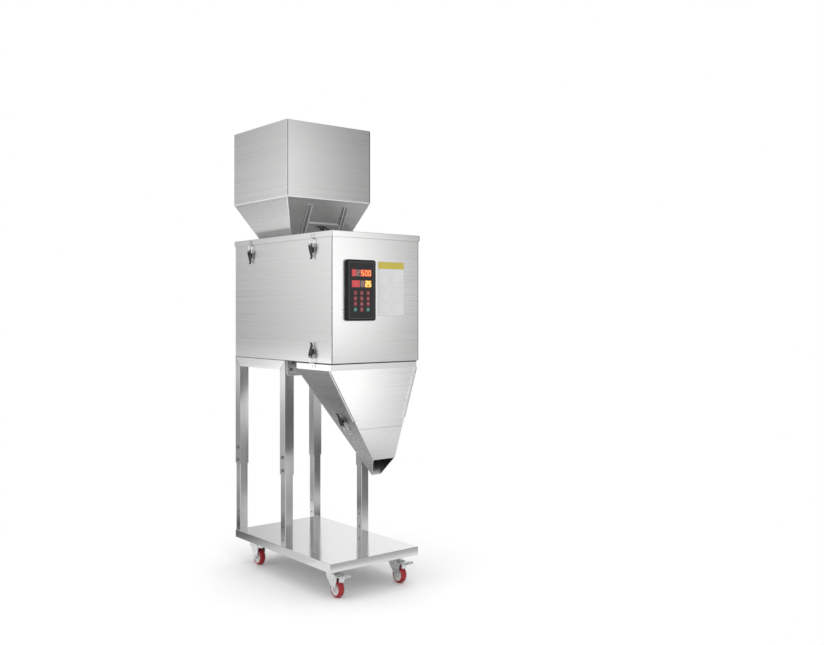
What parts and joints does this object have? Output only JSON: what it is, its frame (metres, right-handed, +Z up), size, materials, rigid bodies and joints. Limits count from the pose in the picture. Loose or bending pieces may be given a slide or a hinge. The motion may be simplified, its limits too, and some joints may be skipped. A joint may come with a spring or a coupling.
{
  "type": "weighing powder filler",
  "caption": "Stainless weighing powder filler: square hopper with metering gate over a cabinet, discharge funnel in front, telescopic stand on a wheeled tray.",
  "frame": {"origin": "on the floor under the middle of the whole machine's outline", "axes": "+Z up. -Y is the front, with the control panel and the nozzle. +X is the right-hand side for someone who faces the panel."},
  "size_m": [0.3888, 0.695, 1.601],
  "materials": {
    "stainless_steel": "fine horizontal grain",
    "latch_steel": "bright drawn wire and pressed sheet",
    "zinc_plated_steel": "bright zinc",
    "tyre_rubber": "matte red",
    "hub_plastic": "matte white",
    "panel_frame": "satin black",
    "panel_film": "printed film",
    "black_plastic": "moulded black",
    "cast_base": "painted casting",
    "aluminium_alloy": "machined"
  },
  "bodies": {
    "base": {"base_tray": "stainless_steel", "caster_mounts": "stainless_steel", "lower_leg_front_left": "stainless_steel", "lower_leg_front_right": "stainless_steel", "lower_leg_rear_left": "stainless_steel", "lower_leg_rear_right": "stainless_steel"},
    "upper": {"side_frame_left": "stainless_steel", "side_frame_right": "stainless_steel", "frame_crosspieces": "stainless_steel", "stand_bolts": "stainless_steel", "cabinet_shell": "stainless_steel", "front_panel": "stainless_steel", "lid": "stainless_steel", "hopper": "stainless_steel", "gate_rails": "stainless_steel", "discharge_funnel": "stainless_steel", "nozzle": "stainless_steel", "panel_housing": "panel_frame", "panel_overlay": "panel_film", "latch_bases": "latch_steel", "latch_keepers": "latch_steel", "feeder_drive": "cast_base", "load_cell": "aluminium_alloy", "weigh_bucket": "stainless_steel", "power_inlet": "black_plastic"},
    "caster_front_left": {"caster_fork_front_left": "zinc_plated_steel"},
    "wheel_front_left": {"caster_tyre_front_left": "tyre_rubber", "caster_hub_front_left": "hub_plastic"},
    "brake_pedal_left": {"brake_pedal_left": "zinc_plated_steel"},
    "caster_front_right": {"caster_fork_front_right": "zinc_plated_steel"},
    "wheel_front_right": {"caster_tyre_front_right": "tyre_rubber", "caster_hub_front_right": "hub_plastic"},
    "brake_pedal_right": {"brake_pedal_right": "zinc_plated_steel"},
    "caster_rear_left": {"caster_fork_rear_left": "zinc_plated_steel"},
    "wheel_rear_left": {"caster_tyre_rear_left": "tyre_rubber", "caster_hub_rear_left": "hub_plastic"},
    "caster_rear_right": {"caster_fork_rear_right": "zinc_plated_steel"},
    "wheel_rear_right": {"caster_tyre_rear_right": "tyre_rubber", "caster_hub_rear_right": "hub_plastic"},
    "gate": {"slide_gate": "stainless_steel"},
    "knob": {"gate_knob": "black_plastic"},
    "lever_lid_front_left": {"latch_lever_lid_front_left": "latch_steel"},
    "bail_lid_front_left": {"latch_bail_lid_front_left": "latch_steel"},
    "lever_lid_rear_left": {"latch_lever_lid_rear_left": "latch_steel"},
    "bail_lid_rear_left": {"latch_bail_lid_rear_left": "latch_steel"},
    "lever_funnel_left": {"latch_lever_funnel_left": "latch_steel"},
    "bail_funnel_left": {"latch_bail_funnel_left": "latch_steel"},
    "lever_nozzle_left": {"latch_lever_nozzle_left": "latch_steel"},
    "bail_nozzle_left": {"latch_bail_nozzle_left": "latch_steel"},
    "lever_lid_front_right": {"latch_lever_lid_front_right": "latch_steel"},
    "bail_lid_front_right": {"latch_bail_lid_front_right": "latch_steel"},
    "lever_lid_rear_right": {"latch_lever_lid_rear_right": "latch_steel"},
    "bail_lid_rear_right": {"latch_bail_lid_rear_right": "latch_steel"},
    "lever_funnel_right": {"latch_lever_funnel_right": "latch_steel"},
    "bail_funnel_right": {"latch_bail_funnel_right": "latch_steel"},
    "lever_nozzle_right": {"latch_lever_nozzle_right": "latch_steel"},
    "bail_nozzle_right": {"latch_bail_nozzle_right": "latch_steel"},
    "flap": {"bucket_flap": "stainless_steel"},
    "trough": {"feeder_trough": "stainless_steel"},
    "rocker": {"rocker_switch": "black_plastic"}
  },
  "joints": [
    {"name": "stand_height", "type": "slide", "parent": "base", "child": "upper", "axis": [0, 0, 1], "range_m": [-0.24, 0]},
    {"name": "caster_swivel_front_left", "type": "hinge", "parent": "base", "child": "caster_front_left", "pos_m": [-0.13, -0.2415, 0.0766], "axis": [0, 0, 1], "continuous": true},
    {"name": "wheel_spin_front_left", "type": "hinge", "parent": "caster_front_left", "child": "wheel_front_left", "pos_m": [-0.13, -0.2655, 0.03], "axis": [1, 0, 0], "continuous": true},
    {"name": "brake_press_left", "type": "hinge", "parent": "caster_front_left", "child": "brake_pedal_left", "pos_m": [-0.13, -0.2755, 0.0691], "axis": [1, 0, 0], "range_deg": [0, 12.5]},
    {"name": "caster_swivel_front_right", "type": "hinge", "parent": "base", "child": "caster_front_right", "pos_m": [0.13, -0.2415, 0.0766], "axis": [0, 0, 1], "continuous": true},
    {"name": "wheel_spin_front_right", "type": "hinge", "parent": "caster_front_right", "child": "wheel_front_right", "pos_m": [0.13, -0.2655, 0.03], "axis": [1, 0, 0], "continuous": true},
    {"name": "brake_press_right", "type": "hinge", "parent": "caster_front_right", "child": "brake_pedal_right", "pos_m": [0.13, -0.2755, 0.0691], "axis": [1, 0, 0], "range_deg": [0, 12.5]},
    {"name": "caster_swivel_rear_left", "type": "hinge", "parent": "base", "child": "caster_rear_left", "pos_m": [-0.13, 0.2665, 0.0766], "axis": [0, 0, 1], "continuous": true},
    {"name": "wheel_spin_rear_left", "type": "hinge", "parent": "caster_rear_left", "child": "wheel_rear_left", "pos_m": [-0.13, 0.2425, 0.03], "axis": [1, 0, 0], "continuous": true},
    {"name": "caster_swivel_rear_right", "type": "hinge", "parent": "base", "child": "caster_rear_right", "pos_m": [0.13, 0.2665, 0.0766], "axis": [0, 0, 1], "continuous": true},
    {"name": "wheel_spin_rear_right", "type": "hinge", "parent": "caster_rear_right", "child": "wheel_rear_right", "pos_m": [0.13, 0.2425, 0.03], "axis": [1, 0, 0], "continuous": true},
    {"name": "gate_slide", "type": "slide", "parent": "upper", "child": "gate", "axis": [0, -0.4427, 0.8967], "range_m": [0, 0.06]},
    {"name": "gate_knob_turn", "type": "hinge", "parent": "upper", "child": "knob", "pos_m": [0, 0.01744, 1.23788], "axis": [0, -0.8967, -0.4427], "continuous": true},
    {"name": "latch_lever_lid_front_left", "type": "hinge", "parent": "upper", "child": "lever_lid_front_left", "pos_m": [-0.1895, -0.1995, 1.156], "axis": [0, 1, 0], "range_deg": [0, 150]},
    {"name": "latch_bail_lid_front_left", "type": "hinge", "parent": "lever_lid_front_left", "child": "bail_lid_front_left", "pos_m": [-0.1889, -0.1995, 1.149], "axis": [0, 1, 0], "range_deg": [-175, 0]},
    {"name": "latch_lever_lid_rear_left", "type": "hinge", "parent": "upper", "child": "lever_lid_rear_left", "pos_m": [-0.1895, 0.2085, 1.156], "axis": [0, 1, 0], "range_deg": [0, 150]},
    {"name": "latch_bail_lid_rear_left", "type": "hinge", "parent": "lever_lid_rear_left", "child": "bail_lid_rear_left", "pos_m": [-0.1889, 0.2085, 1.149], "axis": [0, 1, 0], "range_deg": [-175, 0]},
    {"name": "latch_lever_funnel_left", "type": "hinge", "parent": "upper", "child": "lever_funnel_left", "pos_m": [-0.1895, -0.1995, 0.7878], "axis": [0, -1, 0], "range_deg": [0, 150]},
    {"name": "latch_bail_funnel_left", "type": "hinge", "parent": "lever_funnel_left", "child": "bail_funnel_left", "pos_m": [-0.1889, -0.1995, 0.7948], "axis": [0, -1, 0], "range_deg": [-175, 0]},
    {"name": "latch_lever_nozzle_left", "type": "hinge", "parent": "upper", "child": "lever_nozzle_left", "pos_m": [-0.10507, -0.26527, 0.56004], "axis": [-0.1385, -0.9432, 0.302], "range_deg": [0, 150]},
    {"name": "latch_bail_nozzle_left", "type": "hinge", "parent": "lever_nozzle_left", "child": "bail_nozzle_left", "pos_m": [-0.10728, -0.26294, 0.56629], "axis": [-0.1385, -0.9432, 0.302], "range_deg": [-175, 0]},
    {"name": "latch_lever_lid_front_right", "type": "hinge", "parent": "upper", "child": "lever_lid_front_right", "pos_m": [0.1895, -0.1995, 1.156], "axis": [0, -1, 0], "range_deg": [0, 150]},
    {"name": "latch_bail_lid_front_right", "type": "hinge", "parent": "lever_lid_front_right", "child": "bail_lid_front_right", "pos_m": [0.1889, -0.1995, 1.149], "axis": [0, -1, 0], "range_deg": [-175, 0]},
    {"name": "latch_lever_lid_rear_right", "type": "hinge", "parent": "upper", "child": "lever_lid_rear_right", "pos_m": [0.1895, 0.2085, 1.156], "axis": [0, -1, 0], "range_deg": [0, 150]},
    {"name": "latch_bail_lid_rear_right", "type": "hinge", "parent": "lever_lid_rear_right", "child": "bail_lid_rear_right", "pos_m": [0.1889, 0.2085, 1.149], "axis": [0, -1, 0], "range_deg": [-175, 0]},
    {"name": "latch_lever_funnel_right", "type": "hinge", "parent": "upper", "child": "lever_funnel_right", "pos_m": [0.1895, -0.1995, 0.7878], "axis": [0, 1, 0], "range_deg": [0, 150]},
    {"name": "latch_bail_funnel_right", "type": "hinge", "parent": "lever_funnel_right", "child": "bail_funnel_right", "pos_m": [0.1889, -0.1995, 0.7948], "axis": [0, 1, 0], "range_deg": [-175, 0]},
    {"name": "latch_lever_nozzle_right", "type": "hinge", "parent": "upper", "child": "lever_nozzle_right", "pos_m": [0.10507, -0.26527, 0.56004], "axis": [-0.1385, 0.9432, -0.302], "range_deg": [0, 150]},
    {"name": "latch_bail_nozzle_right", "type": "hinge", "parent": "lever_nozzle_right", "child": "bail_nozzle_right", "pos_m": [0.10728, -0.26294, 0.56629], "axis": [-0.1385, 0.9432, -0.302], "range_deg": [-175, 0]},
    {"name": "bucket_flap", "type": "hinge", "parent": "upper", "child": "flap", "pos_m": [0, -0.2685, 0.874], "axis": [-1, 0, 0], "range_deg": [0, 60], "stiffness_Nm_per_rad": 0.4, "springref_deg": -68.75},
    {"name": "trough_shake", "type": "slide", "parent": "upper", "child": "trough", "axis": [0, 1, 0], "range_m": [-0.0005, 0.0005], "stiffness_N_per_m": 20000},
    {"name": "power_rocker", "type": "hinge", "parent": "upper", "child": "rocker", "pos_m": [0.085, 0.3265, 0.876], "axis": [1, 0, 0], "range_deg": [-20, 0]}
  ],
  "couplings": [
    {"joint": "latch_bail_lid_front_left", "follows": "latch_lever_lid_front_left", "ratio": -1.15},
    {"joint": "latch_bail_lid_rear_left", "follows": "latch_lever_lid_rear_left", "ratio": -1.15},
    {"joint": "latch_bail_funnel_left", "follows": "latch_lever_funnel_left", "ratio": -1.15},
    {"joint": "latch_bail_nozzle_left", "follows": "latch_lever_nozzle_left", "ratio": -1.15},
    {"joint": "latch_bail_lid_front_right", "follows": "latch_lever_lid_front_right", "ratio": -1.15},
    {"joint": "latch_bail_lid_rear_right", "follows": "latch_lever_lid_rear_right", "ratio": -1.15},
    {"joint": "latch_bail_funnel_right", "follows": "latch_lever_funnel_right", "ratio": -1.15},
    {"joint": "latch_bail_nozzle_right", "follows": "latch_lever_nozzle_right", "ratio": -1.15}
  ]
}
